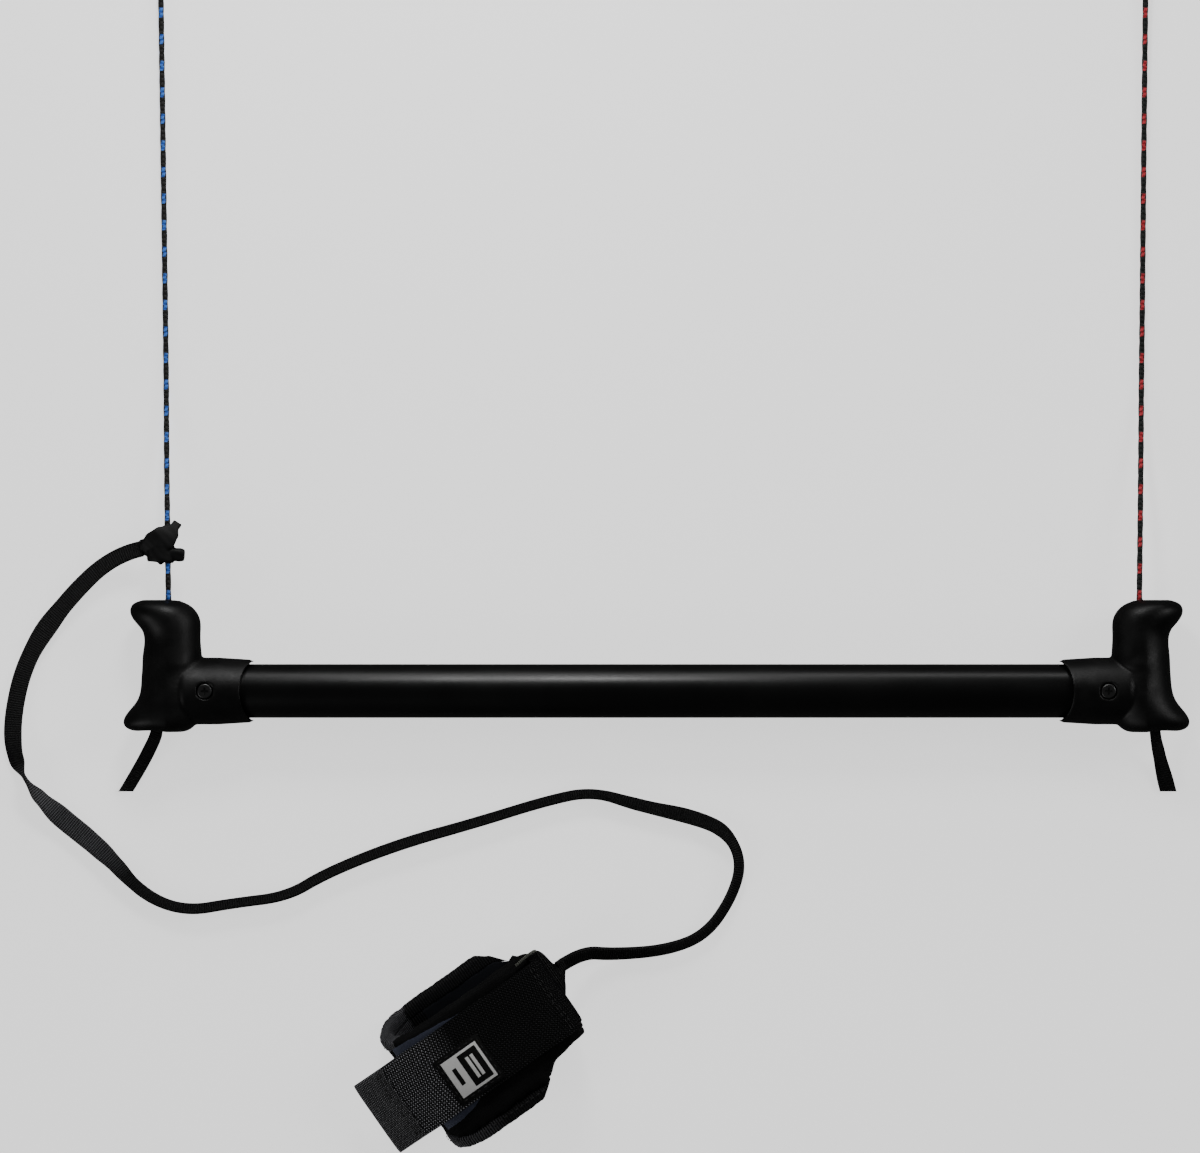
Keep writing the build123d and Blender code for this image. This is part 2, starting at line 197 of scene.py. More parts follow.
def copyOfCad(nodeName, name):
    piece = bpy.data.objects.new(name, nodes[nodeName].data.copy())
    bpy.context.scene.collection.objects.link(piece)
    workOn(piece)
    bpy.ops.object.mode_set(mode="EDIT")
    bpy.ops.mesh.select_all(action="SELECT")
    bpy.ops.mesh.remove_doubles(threshold=0.00001)
    bpy.ops.object.mode_set(mode="OBJECT")
    return piece


def joined(pieces, name):
    deselectAll()
    for piece in pieces:
        piece.select_set(True)
    bpy.context.view_layer.objects.active = pieces[0]
    bpy.ops.object.join()
    pieces[0].name = name
    pieces[0].data.name = name
    return pieces[0]


def splinePoints(points, spacing):
    # The smooth line of a route: a NURBS curve whose controls are the route's points.
    curve = bpy.data.curves.new("route", "CURVE")
    curve.dimensions = "3D"
    spline = curve.splines.new("NURBS")
    spline.points.add(len(points) - 1)
    for place, point in zip(spline.points, points):
        place.co = (*(c * mm for c in point), 1)
    spline.order_u = 3
    spline.use_endpoint_u = True
    spline.resolution_u = 24
    holder = bpy.data.objects.new("route", curve)
    bpy.context.scene.collection.objects.link(holder)
    mesh = bpy.data.meshes.new_from_object(holder)
    line = [vertex.co.copy() for vertex in mesh.vertices]
    bpy.data.objects.remove(holder)
    bpy.data.curves.remove(curve)
    bpy.data.meshes.remove(mesh)
    return evenly(line, spacing)


def evenly(line, spacing):
    # The same line with points this far apart, and its length.
    lengths = [0.0]
    for before, after in zip(line, line[1:]):
        lengths.append(lengths[-1] + (after - before).length)
    count = max(2, round(lengths[-1] / (spacing * mm)))
    even, j = [], 0
    for i in range(count + 1):
        wanted = lengths[-1] * i / count
        while j < len(lengths) - 2 and lengths[j + 1] < wanted:
            j += 1
        share = (wanted - lengths[j]) / max(lengths[j + 1] - lengths[j], 1e-9)
        even.append(line[j].lerp(line[j + 1], min(max(share, 0), 1)))
    return even, lengths[-1]


def lieAt(stations, where):
    # Values between given stations, eased; each station is (distance in mm, value, ...).
    for low, high in zip(stations, stations[1:]):
        if where <= high[0]:
            t = min(max((where - low[0]) / (high[0] - low[0]), 0), 1)
            t = t * t * (3 - 2 * t)
            return [first + (last - first) * t for first, last in zip(low[1:], high[1:])]
    return list(stations[-1][1:])


def skin(name, rings, across=None, closed=False):
    # Rings of equal count become a skin. Its UV map is metres along, and across or the way round.
    count = len(rings[0])
    around = across or [j / count for j in range(count)]
    middles = [sum(ring, Vector()) / count for ring in rings]
    travelled = [0.0]
    for before, after in zip(middles, middles[1:]):
        travelled.append(travelled[-1] + (after - before).length)
    faces, uvs = [], []
    for i in range(len(rings) if closed else len(rings) - 1):
        n = (i + 1) % len(rings)
        here = travelled[i]
        there = travelled[n] if n else here + travelled[1]
        for j in range(count):
            k = (j + 1) % count
            far = around[k] if k or across else 1.0
            faces.append((i * count + j, i * count + k, n * count + k, n * count + j))
            uvs += [(here, around[j]), (here, far), (there, far), (there, around[j])]
    if not closed:
        for ring in (0, len(rings) - 1):
            faces.append([ring * count + j for j in range(count)])
            uvs += [(travelled[ring], around[j]) for j in range(count)]
    mesh = bpy.data.meshes.new(name)
    mesh.from_pydata([tuple(p) for ring in rings for p in ring], [], faces)
    layer = mesh.uv_layers.new(name="UVMap")
    for loop, uv in zip(layer.data, uvs):
        loop.uv = uv
    piece = bpy.data.objects.new(name, mesh)
    bpy.context.scene.collection.objects.link(piece)
    facesOutward(piece)
    bpy.ops.object.shade_smooth_by_angle(angle=math.radians(50))
    return piece


def sidesOf(line, i, closed=False):
    # Tangent, level side vector and the vector square to both.
    last = len(line) - 1
    after = line[(i + 1) % len(line)] if closed else line[min(i + 1, last)]
    before = line[i - 1] if closed else line[max(i - 1, 0)]
    tangent = (after - before).normalized()
    side = Vector((0, 0, 1)).cross(tangent)
    side = side.normalized() if side.length > 1e-6 else Vector((1, 0, 0))
    return tangent, side, tangent.cross(side)


def flatRing(centre, wide, proud, width, thick, corners=6, squareness=0.5):
    # A flat section with rounded edges.
    ring = []
    for j in range(4 * corners):
        angle = 2 * math.pi * (j + 0.5) / (4 * corners)
        x = math.copysign(abs(math.cos(angle)) ** squareness, math.cos(angle)) * width / 2 * mm
        y = math.copysign(abs(math.sin(angle)) ** 0.8, math.sin(angle)) * thick / 2 * mm
        ring.append(centre + wide * x + proud * y)
    return ring


def acrossFlat(width, corners=6, squareness=0.5):
    places = []
    for j in range(4 * corners):
        c = math.cos(2 * math.pi * (j + 0.5) / (4 * corners))
        places.append(math.copysign(abs(c) ** squareness, c) * width / 2 * mm)
    return places


def tubeRings(line, radiusAt, around=20):
    rings = []
    for i, centre in enumerate(line):
        _, across, up = sidesOf(line, i)
        ring = []
        for j in range(around):
            angle = 2 * math.pi * j / around
            reach = radiusAt(i, angle) * mm
            ring.append(centre + across * math.cos(angle) * reach + up * math.sin(angle) * reach)
        rings.append(ring)
    return rings


# Camera, floor and light.
view = {"width": 558.7, "middle": (-26.3, 53.3), "height": 6000.0}
cameraData = bpy.data.cameras.new("camera")
cameraData.sensor_width = 36
cameraData.lens = 36 * view["height"] / view["width"]
cameraData.clip_end = 30
camera = bpy.data.objects.new("camera", cameraData)
camera.location = (view["middle"][0] * mm, view["middle"][1] * mm, view["height"] * mm)
bpy.context.scene.collection.objects.link(camera)
bpy.context.scene.camera = camera

bpy.ops.mesh.primitive_plane_add(size=6, location=(0, 0, floorHeight))
floor = bpy.context.object
floor.name = "floor"
paper, paperShader = newMaterial("whitePaper", "#f4f4f4", 0.9)
paperShader.inputs["Emission Color"].default_value = linear("#ffffff")
paperShader.inputs["Emission Strength"].default_value = 1.15  # lit from under, which thins the shadows
floor.data.materials.append(paper)
floor.visible_glossy = False  # dull paper: it isn't mirrored in the black pieces' edges

world = bpy.data.worlds.new("studio")
bpy.context.scene.world = world
world.use_nodes = True
world.node_tree.nodes["Background"].inputs["Color"].default_value = linear("#ffffff")
world.node_tree.nodes["Background"].inputs["Strength"].default_value = 0.035


def softbox(name, place, target, size, power):
    data = bpy.data.lights.new(name, "AREA")
    data.shape = "RECTANGLE"
    data.size, data.size_y = size
    data.energy = power
    lamp = bpy.data.objects.new(name, data)
    lamp.location = place
    lamp.rotation_euler = (Vector(target) - Vector(place)).to_track_quat("-Z", "Y").to_euler()
    bpy.context.scene.collection.objects.link(lamp)


softbox("stripLight", (-0.10, 0.60, 0.42), (-0.08, 0, 0), (0.20, 0.16), 1.75)
softbox("backLight", (-0.1, 3.3, 0.95), (-0.03, 0.0, 0), (3.2, 0.7), 20)
softbox("leftLight", (-2.1, -1.5, 1.2), (-0.08, -0.1, 0), (1.1, 0.9), 13)
softbox("rightLight", (2.3, 0.9, 1.5), (0.0, 0.0, 0), (1.2, 1.0), 15)
print("camera and light set")


# Finishes that several pieces share.

def polyesterYarn():
    # Dyed polyester, spun and braided: nearly black, with a faint nap.
    material, shader = newMaterial("blackPolyesterYarn", "#090909", 0.7, Sheen_Weight=0.2)
    strands = addNode(material.node_tree, "ShaderNodeTexWave", {"bands_direction": "DIAGONAL"}, {
        "Vector": objectPlace(material), "Scale": 1 / (3.0 * mm),
        "Distortion": 1.5}).outputs[1]  # plies 0.5 mm wide
    blendColours(strands, "#050505", "#161616", shader.inputs["Base Color"])
    raised(shader, strands, 0.12)
    return material


def ribbedTape():
    # Woven polyester tape with crosswise ribs, which catch the light in fine lines.
    material, shader = newMaterial("ribbedPolyesterTape", "#060606", 0.6, Specular_IOR_Level=0.35)
    along, across = uvOf(material)
    lengthwise = times(ribs(across, 0.9), 0.4)
    weave = maths("ADD", ribs(along, 1.1), lengthwise)
    tone = between(weave, -0.8, 1.4)
    # the leash's ribs are greyer along its flat stretch, about 163 mm along the route
    greyingShare = between(apartFrom(along, 163 * mm), 16 * mm, 38 * mm, 1.0, 0.0)
    black = blendColours(tone, "#020202", "#151516")
    grey = blendColours(tone, "#101011", "#6a6a6e")
    blendColours(greyingShare, black, grey, shader.inputs["Base Color"])
    raised(shader, weave, 0.2)
    return material


def mouldedNylon():
    # Glass-filled nylon out of a spark-eroded mould: a dull black skin with a fine even grain.
    material, shader = newMaterial("mouldedBlackNylon", "#060606", 0.46, Specular_IOR_Level=0.4)
    place = objectPlace(material)
    fine = grain(place, 0.5, 2)  # the mould's grain, 0.5 mm
    cloudy = grain(place, 9, 4)
    blendColours(cloudy, "#030303", "#090909", shader.inputs["Base Color"])
    wearAndFoldLight = between(cloudy, 0.3, 0.7, 0.40, 0.54)
    feed(wearAndFoldLight, shader.inputs["Roughness"])
    flow = raised(None, cloudy, 0.25)
    raised(shader, fine, 0.03, under=flow)
    return material


def naturalNylon():
    material, shader = newMaterial("turnedNaturalNylon", "#cfc9b8", 0.5, Subsurface_Weight=0.1)
    raised(shader, grain(objectPlace(material), 0.8), 0.03)
    return material


def anodisedTube():
    # Drawn aluminium tube, black anodised: fine scratches along its length.
    material, shader = newMaterial("blackAnodisedAluminium", "#1a1a1b", 0.38, Metallic=1.0)
    drawn = grain(drawnOut(material, 0.02), 0.3, 2)  # draw marks, 0.3 mm apart
    raised(shader, drawn, 0.01)
    return material


def turnedBrass():
    material, shader = newMaterial("turnedBrass", "#b08d45", 0.3, Metallic=1.0)
    rings = addNode(material.node_tree, "ShaderNodeTexWave", {"bands_direction": "Z"}, {
        "Vector": objectPlace(material), "Scale": 1 / (8 * mm)}).outputs[1]  # knurl, 0.4 mm
    raised(shader, rings, 0.06)
    return material


def blackOxideSteel():
    # Stainless screw with a black oxide coat, glossier than the nylon round it.
    material, shader = newMaterial("blackOxideSteel", "#5a5a5a", 0.4, Metallic=1.0)
    raised(shader, grain(objectPlace(material), 0.4), 0.01)
    return material


yarnMaterial = polyesterYarn()
tapeMaterial = ribbedTape()
nylonMaterial = mouldedNylon()
carriedOver = {
    "bar_tube": anodisedTube(),
    "tube_plug": naturalNylon(),
    "screw_insert": turnedBrass(),
    "fitting_screw": blackOxideSteel(),
    "stopper_knot": yarnMaterial,
    "leader_core": yarnMaterial,
}
for start, material in carriedOver.items():
    for name, node in nodes.items():
        if name.startswith(start):
            node.data.materials.clear()
            node.data.materials.append(material)
print("finishes made")


# Leaders: braided polyester cord, dark, with a coloured two-strand fleck in each repeat.
leader = {
    "radius": 1.4, "fleckPitch": 12.4, "fleckLength": 4.6, "strands": 4, "lay": 9.0, "relief": 0.1,
    "left": [(-227.2, 42.2, 0), (-227.8, 76, -2.6), (-228.4, 110, -9.8), (-228.7, 145, -13.5),
             (-229.1, 176, -13.5), (-231.0, 314, -13.5), (-231.3, 333, -11.6)],
    "right": [(224.8, 42.2, 0), (225.3, 76, -2.2), (225.9, 108, -8.9), (226.3, 142, -13.5),
              (226.7, 173, -13.5), (228.1, 314, -13.5), (228.3, 333, -11.6)],
    "colours": {"left": ("#0c0a08", "#1f5fd8", "#4f95ff"), "right": ("#08110c", "#c01526", "#ef4450")},
    "knotRadius": 3.2, "knotTail": 8.0,
}


def braidedCord(side):
    # Tight braid: matt, with a slanted pick of colour.
    dark, colour, light = leader["colours"][side]
    material, shader = newMaterial("braidedPolyester_" + side, dark, 0.62, Sheen_Weight=0.15)
    along, around = uvOf(material)
    # the coloured pick comes up once in each repeat, on the two sides of the cord in turn
    doubled = times(around, 2)
    half = times(maths("FLOOR", doubled), 0.5)
    repeats = times(along, 1 / (leader["fleckPitch"] * mm))
    cycle = maths("FRACT", maths("ADD", repeats, half))
    share = leader["fleckLength"] / leader["fleckPitch"]
    strand = maths("FRACT", times(cycle, 2 / share))
    drift = times(maths("SUBTRACT", strand, 0.5), 0.2)
    fromSide = maths("SUBTRACT", maths("FRACT", doubled), 0.5)
    inside = between(apartFrom(fromSide, drift), 0.12, 0.27, 1.0, 0.0)
    ends = between(apartFrom(strand, 0.5), 0.44, 0.5, 1.0, 0.35)
    off = between(cycle, share, share + 0.02, 1.0, 0.0)
    # the braid's yarns repeat every 2.2 mm, slanting both ways
    lengthwise = times(along, 2 * math.pi / (2.2 * mm))
    slant = times(around, 4 * math.pi)
    oneWay = maths("SINE", maths("ADD", lengthwise, slant))
    otherWay = maths("SINE", maths("SUBTRACT", lengthwise, slant))
    yarns = maths("MAXIMUM", oneWay, otherWay)
    lit = between(yarns, -0.6, 1.0)
    fleckShade = blendColours(lit, colour, light)
    darkShade = blendColours(lit, "#040404", dark)
    picked = times(times(inside, off), ends)
    blendColours(picked, darkShade, fleckShade, shader.inputs["Base Color"])
    raised(shader, yarns, 0.12)
    return material


def leaderCord(side):
    line, length = splinePoints(leader[side], 0.45)

    def radiusAt(i, angle):
        twist = 2 * math.pi * length / mm * i / (len(line) - 1) / leader["lay"]
        strand = max(math.cos(leader["strands"] * angle + twist), math.cos(leader["strands"] * angle - twist))
        return leader["radius"] + leader["relief"] * (strand - 1)

    return skin("leaderCord_" + side, tubeRings(line, radiusAt)), line, length


def endKnot(side, line):
    # An overhand knot pulled tight, and the cord's short tail beyond it.
    start = line[-1] + Vector((0, 1.6 * mm, 0))
    size = (leader["knotRadius"] - leader["radius"]) / 2.4
    loop = []
    for i in range(90):
        t = 2 * math.pi * i / 90
        loop.append(start + Vector((
            (math.sin(t) + 2 * math.sin(2 * t)) * size * 0.8,
            -math.sin(3 * t) * size * 1.2,
            (math.cos(t) - 2 * math.cos(2 * t)) * size * 0.8)) * mm)
    rings = []
    for i, centre in enumerate(loop):
        _, across, up = sidesOf(loop, i, True)
        rings.append([centre + (across * math.cos(a) + up * math.sin(a)) * leader["radius"] * 0.92 * mm
                      for a in (2 * math.pi * j / 12 for j in range(12))])
    knot = skin("knotTurns", rings, closed=True)
    tailLine = [start + Vector((0, y * mm, 0)) for y in (0, 2, 4, 6, leader["knotTail"])]
    frays = [1.0, 1.0, 1.0, 1.05, 0.9]
    tail = skin("knotTail", tubeRings(tailLine, lambda i, angle: leader["radius"] * frays[i], 14))
    return joined([knot, tail], "endKnot_" + side)


for side in ("left", "right"):
    cord, leaderLine, leaderLength = leaderCord(side)
    braid = braidedCord(side)
    wear(cord, braid, "leader_" + side, side + "_leader", "leader_line_" + side)
    knot = endKnot(side, leaderLine)
    wear(knot, braid, "leader_" + side, side + "_leader", "leader_end_knot_" + side)
print("leaders made")


# Leash: ribbed tape that lies on its face in places and stands on its edge in others.
leash = {
    "width": 10.0,
    "route": [
        (-239.5, 66.3, -3.6), (-253, 63.5, -5.5), (-275, 42.5, -9.5), (-294, 16, -12.5),
        (-301, -14, -12.5), (-299, -35, -11), (-286, -52.5, -11.5), (-257, -75.5, -12.5),
        (-240, -95, -12.5), (-220, -103, -11), (-197, -99, -10.5), (-172, -96, -10.5),
        (-154, -85, -11), (-120, -71.5, -10.5), (-84, -61.5, -10.5), (-52, -51.5, -10.5),
        (-30, -46.8, -11), (-8, -53.5, -11), (18, -59, -11.5), (33, -65.5, -11),
        (40, -80, -10.5), (35, -97, -10.5), (23, -114, -11), (5, -121, -11), (-20, -123, -11),
        (-35.5, -121.6, -5), (-46.2, -129.2, 1.5)],
    # distance along it, roll in degrees, width, thickness
    "lie": [
        (0, 16, 7.6, 2.6), (12, 14, 7.8, 2.2), (45, 22, 8.8, 1.8), (60, 16, 9.8, 1.7), (76, 16, 8.6, 1.7),
        (92, 12, 8.4, 1.6), (112, 16, 8.7, 1.6), (125, 36, 9.0, 1.6), (135, 90, 9.4, 2.0),
        (146, 128, 9.8, 1.5), (160, 166, 10, 1.4), (170, 164, 10, 1.4), (182, 156, 9.8, 1.5),
        (194, 143, 8.8, 1.8), (207, 134, 7.4, 2.2), (230, 129, 6.8, 2.4), (268, 128, 6.4, 2.5),
        (303, 130, 6.8, 2.5), (340, 130, 7.0, 2.5), (376, 129, 6.8, 2.3), (400, 130, 6.2, 2.6),
        (433, 128, 6.4, 2.4), (455, 138, 7.4, 2.0), (477, 146, 8.2, 1.8), (492, 142, 8.0, 1.9),
        (505, 128, 7.0, 2.3), (530, 128, 6.8, 2.6), (553, 130, 7.0, 2.6), (571, 130, 7.2, 2.8),
        (604, 134, 7.8, 3.0), (700, 130, 7.4, 3.0)],
}


def lyingTape(name, line, length, lie, lowest, cut=None):
    # The tape's section is rolled about its route and kept off the floor. The cut is square to y.
    rings = []
    for i, centre in enumerate(line):
        _, across, up = sidesOf(line, i)
        roll, width, thick = lieAt(lie, length / mm * i / (len(line) - 1))
        roll = math.radians(roll)
        wide = across * math.cos(roll) + up * math.sin(roll)
        proud = up * math.cos(roll) - across * math.sin(roll)
        ring = flatRing(centre, wide, proud, width, thick)
        lift = max(lowest - min(place.z for place in ring), 0)
        rings.append([place + Vector((0, 0, lift)) for place in ring])
        if cut is not None:
            rings[-1] = [Vector((place.x, max(place.y, cut * mm), place.z)) for place in rings[-1]]
            if max(place.y for place in rings[-1]) <= cut * mm:
                break
    return skin(name, rings, acrossFlat(leash["width"])), [sum(ring, Vector()) / len(ring) for ring in rings]


leashLine, leashLength = splinePoints(leash["route"], 1.0)
tapeFloor = floorHeight + 0.1 * mm
leashTape, leashPath = lyingTape("leashTape", leashLine, leashLength, leash["lie"], tapeFloor)
wear(leashTape, tapeMaterial, "leash", None, "leash_tape")
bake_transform(leashTape)
print("leash made")


# Tail tapes: the knot's spare ends, flat black ribbon cut square.
tail = {
    "spread": 5.5, "cut": -47.0,
    "left": [(-232, -15, 0), (-232.6, -20, -1), (-236.6, -28, -7), (-241.2, -36.5, -12.6),
             (-250.0, -51, -13.9)],
    "right": [(232, -15, 0), (232.1, -20, -1), (234.2, -29, -7), (236.2, -37, -12.6), (239.9, -51, -13.9)],
    "leftLie": [(0, 12, 4.8, 2.0), (6, 12, 6.0, 1.6), (16, 8, 6.2, 1.2), (60, 4, 5.8, 1.0)],
    "rightLie": [(0, 12, 4.8, 2.0), (6, 12, 5.2, 1.6), (16, 8, 6.0, 1.2), (32, 4, 7.6, 1.0),
                 (60, 4, 7.8, 1.0)],
}
for side in ("left", "right"):
    route, routeLength = splinePoints(tail[side], 0.8)
    ribbon, path = lyingTape("tailTape_" + side, route, routeLength, tail[side + "Lie"], tapeFloor,
                             tail["cut"])
    wear(ribbon, tapeMaterial, "leash", "bar", "tail_tape_" + side)
print("tail tapes made")


# Hitch: the leash's end wrapped round the leader, its flap and its stub pulled through.
hitch = {
    "centre": (-229.8, 67.6, -2.6), "voxel": 0.38,
    "wraps": [  # middle, half width and half height of the turn, tilt in degrees, tape width
        ((-1.0, -3.6, 0), 6.6, 5.2, -4, 8.4),
        ((-1.0, 1.6, 0.3), 6.4, 4.9, 26, 7.0),
        ((-3.2, -3.6, -0.6), 5.4, 4.8, -42, 5.6)],
    "flap": [(-9.0, -1.6, 1.4), (-3.4, 1.4, 4.6), (2.9, 5.0, 4.2), (7.0, 10.9, 1.8)],
    "flapLie": [(0, 6, 6.4, 1.8), (6, 4, 11.6, 2.0), (12, -2, 12.0, 1.8), (16, -6, 9.0, 1.6),
                (19, -8, 4.6, 1.5)],
    "stub": [(-1.0, -3.4, 2.2), (4.0, -3.9, 1.8), (7.2, -4.2, 1.0), (9.8, -4.3, 0.2)],
    "stubLie": [(0, 20, 5.8, 3.4), (6, 14, 6.0, 4.0), (9, 10, 6.4, 4.6), (12, 10, 5.0, 3.6)],
    "root": [(-10.6, -0.8, -0.9), (-7.0, -0.6, 0.2), (-3.0, 0.0, 0.8)],
    "rootLie": [(0, 20, 7.6, 2.8), (4, 12, 9.0, 3.4), (8, 8, 10.0, 4.0)],
}


def hitchTape(points, lie):
    centre = Vector(hitch["centre"])
    line, length = splinePoints([tuple(centre + Vector(p)) for p in points], 0.5)
    return lyingTape("hitchTape", line, length, lie, floorHeight)[0]


def hitchWrap(middle, halfWidth, halfHeight, tilt, width):
    centre = (Vector(hitch["centre"]) + Vector(middle)) * mm
    tilt = math.radians(tilt)
    level = Vector((math.cos(tilt), math.sin(tilt), 0))
    wide = Vector((-math.sin(tilt), math.cos(tilt), 0))
    line = []
    for i in range(48):
        angle = 2 * math.pi * i / 48
        line.append(centre + level * math.cos(angle) * halfWidth * mm * 0.82
                    + Vector((0, 0, math.sin(angle) * halfHeight * mm * 0.82)))
    rings = []
    for i, place in enumerate(line):
        tangent = sidesOf(line, i, True)[0]
        rings.append(flatRing(place, wide, tangent.cross(wide), width, 2.2))
    return skin("hitchWrap", rings, acrossFlat(width), closed=True)


hitchParts = [hitchWrap(*wrap) for wrap in hitch["wraps"]]
hitchParts += [hitchTape(hitch[part], hitch[part + "Lie"]) for part in ("flap", "stub", "root")]
leashHitch = joined(hitchParts, "leashHitch")
applied(leashHitch, "REMESH", mode="VOXEL", voxel_size=hitch["voxel"] * mm)
applied(leashHitch, "SMOOTH", factor=0.5, iterations=7)
for vertex in leashHitch.data.vertices:
    vertex.co.z = max(vertex.co.z, floorHeight)
settle(leashHitch, "leashHitch", 60)
# The same tape, drawn tight: its ribs, 0.7 mm apart, barely show.
hitchMaterial, hitchShader = newMaterial("knottedPolyesterTape", "#060606", 0.6, Specular_IOR_Level=0.35)
knotRibs = addNode(hitchMaterial.node_tree, "ShaderNodeTexWave", {"bands_direction": "DIAGONAL"}, {
    "Vector": objectPlace(hitchMaterial), "Scale": 1 / (7 * mm), "Distortion": 1.0}).outputs[1]
blendColours(knotRibs, "#030303", "#0d0d0e", hitchShader.inputs["Base Color"])
raised(hitchShader, knotRibs, 0.05)
wear(leashHitch, hitchMaterial, "leash", "left_leader", "leash_hitch")
print("hitch made")


# End fittings: the CAD shape with the soft blends and rounded lips of a moulding.
fitting = {
    "voxel": 0.5, "rounding": 13, "hornAxis": 226.0, "back": 700, "mouth": 196.0,
    "taper": (197.0, 187.0), "taperRadius": (15.6, 13.4), "tip": 187.6,
}


def mostRadiusAt(x):
    # The mouth's two tips run out on the grip, so the sleeve may be only this wide here.
    start, end = fitting["taper"]
    wide, narrow = fitting["taperRadius"]
    return wide + (narrow - wide) * min(max((start - x) / (start - end), 0), 1) ** 3


def groupOf(piece, name, weightAt):
    group = piece.vertex_groups.new(name=name)
    for vertex in piece.data.vertices:
        weight = min(max(weightAt(abs(vertex.co.x) / mm, vertex.co.y / mm, vertex.co.z / mm), 0), 1)
        if weight > 0:
            group.add([vertex.index], weight, "REPLACE")
    return name


for side in ("left", "right"):
    moulding = copyOfCad("end_fitting_" + side, "endFitting_" + side)
    applied(moulding, "REMESH", mode="VOXEL", voxel_size=fitting["voxel"] * mm)
    applied(moulding, "SMOOTH", factor=0.5, iterations=2)
    body = groupOf(moulding, "body", lambda x, y, z: (x - fitting["mouth"]) / 3)
    applied(moulding, "SMOOTH", factor=0.5, iterations=fitting["rounding"], vertex_group=body)
    back = groupOf(moulding, "back",
                   lambda x, y, z: min((x - fitting["hornAxis"] - 2) / 5, (30 - abs(y)) / 6))
    applied(moulding, "SMOOTH", factor=0.5, iterations=fitting["back"], vertex_group=back)
    for vertex in moulding.data.vertices:
        most = mostRadiusAt(abs(vertex.co.x) / mm)
        radius = math.hypot(vertex.co.y, vertex.co.z) / mm
        if abs(vertex.co.x) / mm < fitting["taper"][0] and radius > most:
            vertex.co.y *= most / radius
            vertex.co.z *= most / radius
        vertex.co.x = math.copysign(max(abs(vertex.co.x), fitting["tip"] * mm), vertex.co.x)
    settle(moulding, "endFitting_" + side, 60)
    wear(moulding, nylonMaterial, "fitting", "bar", "end_fitting_" + side)
print("fittings made")


# Grip: a smooth rubber sleeve, its rims rounded, drawn on over the tube.
grip = {"radius": 12.5, "wall": 1.5, "reach": 199.0, "rim": 0.5, "segments": 96}


def rubberSleeve():
    # Extruded rubber, lightly ground: dull and smooth, with faint lines along it.
    material, shader = newMaterial("extrudedBlackRubber", "#060606", 0.34, Specular_IOR_Level=0.5)
    place = objectPlace(material)
    lines = grain(drawnOut(material, 0.03), 1.6, 3)  # extrusion lines, about 1.6 mm
    matt = grain(place, 0.4, 2)
    blotches = grain(place, 30, 3)
    rough = between(blotches, 0.3, 0.7, 0.31, 0.37)
    feed(rough, shader.inputs["Roughness"])
    blendColours(blotches, "#040404", "#090909", shader.inputs["Base Color"])
    drawn = raised(None, lines, 0.02)
    raised(shader, matt, 0.012, under=drawn)
    return material


deselectAll()
bpy.ops.mesh.primitive_cylinder_add(vertices=grip["segments"], radius=grip["radius"] * mm,
                                    depth=2 * grip["reach"] * mm, end_fill_type="NOTHING",
                                    rotation=(0, math.pi / 2, 0))
sleeve = bpy.context.object
applied(sleeve, "SOLIDIFY", thickness=grip["wall"] * mm, offset=-1)
applied(sleeve, "BEVEL", width=grip["rim"] * mm, segments=3, limit_method="ANGLE",
        angle_limit=math.radians(60))
facesOutward(sleeve)
settle(sleeve, "gripSleeve")
wear(sleeve, rubberSleeve(), "grip", "bar", "grip_sleeve")
print("grip made")


# Wrist cuff: it lies on its side, its strap running along and its wrist hole across.
cuff = {
    "centre": (-78.5, -163.4), "angle": 35, "length": 81.0, "height": 33.0, "width": 59.2, "skew": 14.0,
    "padThickness": 4.5, "bindingWidth": 5.0, "padVoxel": 2.0, "pressure": 4.0,
    # distance along the cuff, and how far across its rim may reach there
    "drawnIn": [(16, 37), (22, 33.6), (30.3, 29), (34.7, 24.6), (40, 23.9), (60, 23.6)],
}
turned = math.radians(cuff["angle"])
alongCuff = Vector((math.cos(turned), math.sin(turned), 0))
acrossCuff = Vector((-math.sin(turned), math.cos(turned), 0))
upwards = Vector((0, 0, 1))
foldRadius = cuff["height"] / 2
foldReach = cuff["length"] / 2 - foldRadius
cuffCentre = Vector((*cuff["centre"], floorHeight / mm + foldRadius)) * mm


def cuffPlace(along, across, up):
    return cuffCentre + (alongCuff * along + acrossCuff * across + upwards * up) * mm


def foldPlace(angle, reach, across=0):
    # On the fold at +along, where angle 0 points along the cuff.
    return cuffPlace(foldReach + reach * math.cos(angle), across, reach * math.sin(angle))


def cuffLocal(place):
    away = (place - cuffCentre) / mm
    return away.dot(alongCuff), away.dot(acrossCuff), away.z


def loopPlace(along, across, offset):
    # along is measured round the loop from the middle of its upper wall, offset out from the pad's face.
    reach = foldRadius + offset
    turn = (abs(along) - foldReach) / foldRadius
    side = math.copysign(1, along)
    if turn <= 0:
        return cuffPlace(along, across, reach)
    if turn < math.pi:
        return cuffPlace(side * (foldReach + reach * math.sin(turn)), across, reach * math.cos(turn))
    return cuffPlace(side * (foldReach - (turn - math.pi) * foldRadius), across, -reach)


def outwardAt(along):
    turn = min(max((abs(along) - foldReach) / foldRadius, 0), math.pi)
    return alongCuff * math.copysign(math.sin(turn), along) + upwards * math.cos(turn)


def loopOffset(place):
    along, _, up = cuffLocal(place)
    return math.hypot(max(abs(along) - foldReach, 0), up) - foldRadius


